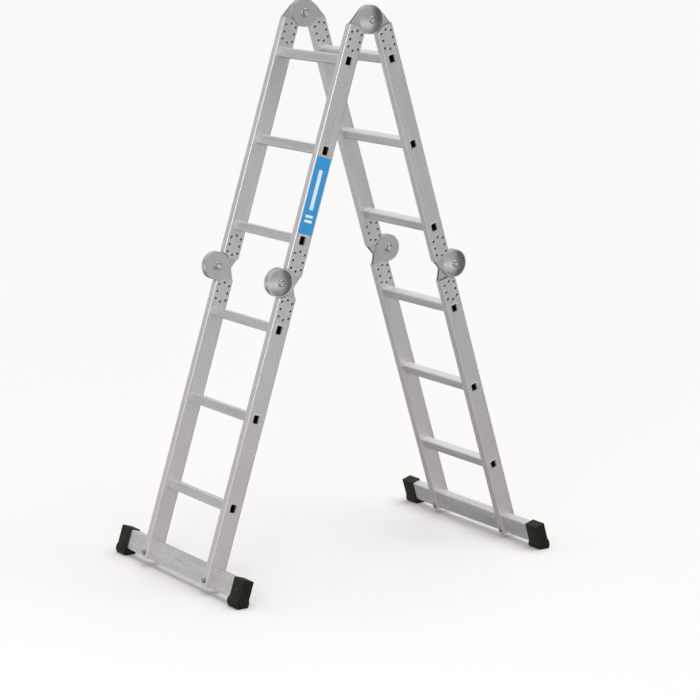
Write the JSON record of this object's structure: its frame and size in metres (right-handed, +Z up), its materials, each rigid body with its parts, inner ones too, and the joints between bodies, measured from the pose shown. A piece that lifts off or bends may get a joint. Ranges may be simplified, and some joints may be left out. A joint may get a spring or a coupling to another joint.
{
  "type": "multi position ladder",
  "caption": "Folding aluminium ladder standing as an A-frame, with locking hinges, box-section stiles, square rungs and a wide rubber-footed bar on each leg.",
  "frame": {"origin": "middle of the footprint at floor level, under the top hinge axis", "axes": "X along the rungs, Y from the front leg to the rear leg, Z up"},
  "size_m": [0.74, 1.2106, 1.7588],
  "materials": {
    "stile_aluminium": "extruded, satin mill finish with fine lengthwise lines",
    "rung_aluminium": "extruded, satin mill finish with tread grooves",
    "hinge_metal": "pressed and cast hinge parts, satin silver-grey",
    "rivet_metal": "smooth domed rivet heads",
    "fastener_steel": "zinc-plated steel",
    "knob": "turned, satin",
    "foot_rubber": "moulded black rubber, matt",
    "label": "printed film, satin blue with plain white marks"
  },
  "bodies": {
    "front_upper": {"front_upper_stile_left": "stile_aluminium", "front_upper_stile_right": "stile_aluminium", "front_upper_rung_1": "rung_aluminium", "front_upper_rung_2": "rung_aluminium", "front_upper_rung_3": "rung_aluminium", "front_upper_rivets": "rivet_metal", "top_arm_front_left": "hinge_metal", "top_spindle_left": "fastener_steel", "top_arm_front_right": "hinge_metal", "top_spindle_right": "fastener_steel", "front_mid_arm_upper_left": "hinge_metal", "front_mid_spindle_left": "fastener_steel", "front_mid_arm_upper_right": "hinge_metal", "front_mid_spindle_right": "fastener_steel", "label": "label"},
    "rear_upper": {"rear_upper_stile_left": "stile_aluminium", "rear_upper_stile_right": "stile_aluminium", "rear_upper_rung_1": "rung_aluminium", "rear_upper_rung_2": "rung_aluminium", "rear_upper_rung_3": "rung_aluminium", "rear_upper_rivets": "rivet_metal", "top_arm_rear_left": "hinge_metal", "top_arm_rear_right": "hinge_metal", "rear_mid_arm_upper_left": "hinge_metal", "rear_mid_spindle_left": "fastener_steel", "rear_mid_arm_upper_right": "hinge_metal", "rear_mid_spindle_right": "fastener_steel"},
    "front_lower": {"front_lower_stile_left": "stile_aluminium", "front_lower_stile_right": "stile_aluminium", "front_lower_rung_1": "rung_aluminium", "front_lower_rung_2": "rung_aluminium", "front_lower_rung_3": "rung_aluminium", "front_lower_rivets": "rivet_metal", "front_foot_bar": "stile_aluminium", "front_bar_bolts": "fastener_steel", "front_cap_pins": "fastener_steel", "front_cap_left": "foot_rubber", "front_cap_right": "foot_rubber", "front_mid_arm_lower_left": "hinge_metal", "front_mid_arm_lower_right": "hinge_metal"},
    "rear_lower": {"rear_lower_stile_left": "stile_aluminium", "rear_lower_stile_right": "stile_aluminium", "rear_lower_rung_1": "rung_aluminium", "rear_lower_rung_2": "rung_aluminium", "rear_lower_rung_3": "rung_aluminium", "rear_lower_rivets": "rivet_metal", "rear_foot_bar": "stile_aluminium", "rear_bar_bolts": "fastener_steel", "rear_cap_pins": "fastener_steel", "rear_cap_left": "foot_rubber", "rear_cap_right": "foot_rubber", "rear_mid_arm_lower_left": "hinge_metal", "rear_mid_arm_lower_right": "hinge_metal"},
    "top_knob_left_body": {"top_knob_left": "knob"},
    "top_knob_right_body": {"top_knob_right": "knob"},
    "front_mid_knob_left_body": {"front_mid_knob_left": "knob"},
    "front_mid_knob_right_body": {"front_mid_knob_right": "knob"},
    "rear_mid_knob_left_body": {"rear_mid_knob_left": "knob"},
    "rear_mid_knob_right_body": {"rear_mid_knob_right": "knob"}
  },
  "joints": [
    {"name": "top_hinge", "type": "hinge", "parent": "front_upper", "child": "rear_upper", "pos_m": [0, 0, 1.71426], "axis": [1, 0, 0], "range_deg": [-34.8, 145.2]},
    {"name": "front_mid_hinge", "type": "hinge", "parent": "front_upper", "child": "front_lower", "pos_m": [0, -0.32753, 0.93662], "axis": [1, 0, 0], "range_deg": [-180, 0]},
    {"name": "rear_mid_hinge", "type": "hinge", "parent": "rear_upper", "child": "rear_lower", "pos_m": [0, 0.32753, 0.93662], "axis": [-1, 0, 0], "range_deg": [-180, 0]},
    {"name": "top_release_left", "type": "slide", "parent": "front_upper", "child": "top_knob_left_body", "axis": [1, 0, 0], "range_m": [0, 0.008], "stiffness_N_per_m": 600, "springref_m": -0.003},
    {"name": "top_release_right", "type": "slide", "parent": "front_upper", "child": "top_knob_right_body", "axis": [-1, 0, 0], "range_m": [0, 0.008], "stiffness_N_per_m": 600, "springref_m": -0.003},
    {"name": "front_mid_release_left", "type": "slide", "parent": "front_upper", "child": "front_mid_knob_left_body", "axis": [1, 0, 0], "range_m": [0, 0.008], "stiffness_N_per_m": 600, "springref_m": -0.003},
    {"name": "front_mid_release_right", "type": "slide", "parent": "front_upper", "child": "front_mid_knob_right_body", "axis": [-1, 0, 0], "range_m": [0, 0.008], "stiffness_N_per_m": 600, "springref_m": -0.003},
    {"name": "rear_mid_release_left", "type": "slide", "parent": "rear_upper", "child": "rear_mid_knob_left_body", "axis": [1, 0, 0], "range_m": [0, 0.008], "stiffness_N_per_m": 600, "springref_m": -0.003},
    {"name": "rear_mid_release_right", "type": "slide", "parent": "rear_upper", "child": "rear_mid_knob_right_body", "axis": [-1, 0, 0], "range_m": [0, 0.008], "stiffness_N_per_m": 600, "springref_m": -0.003}
  ]
}
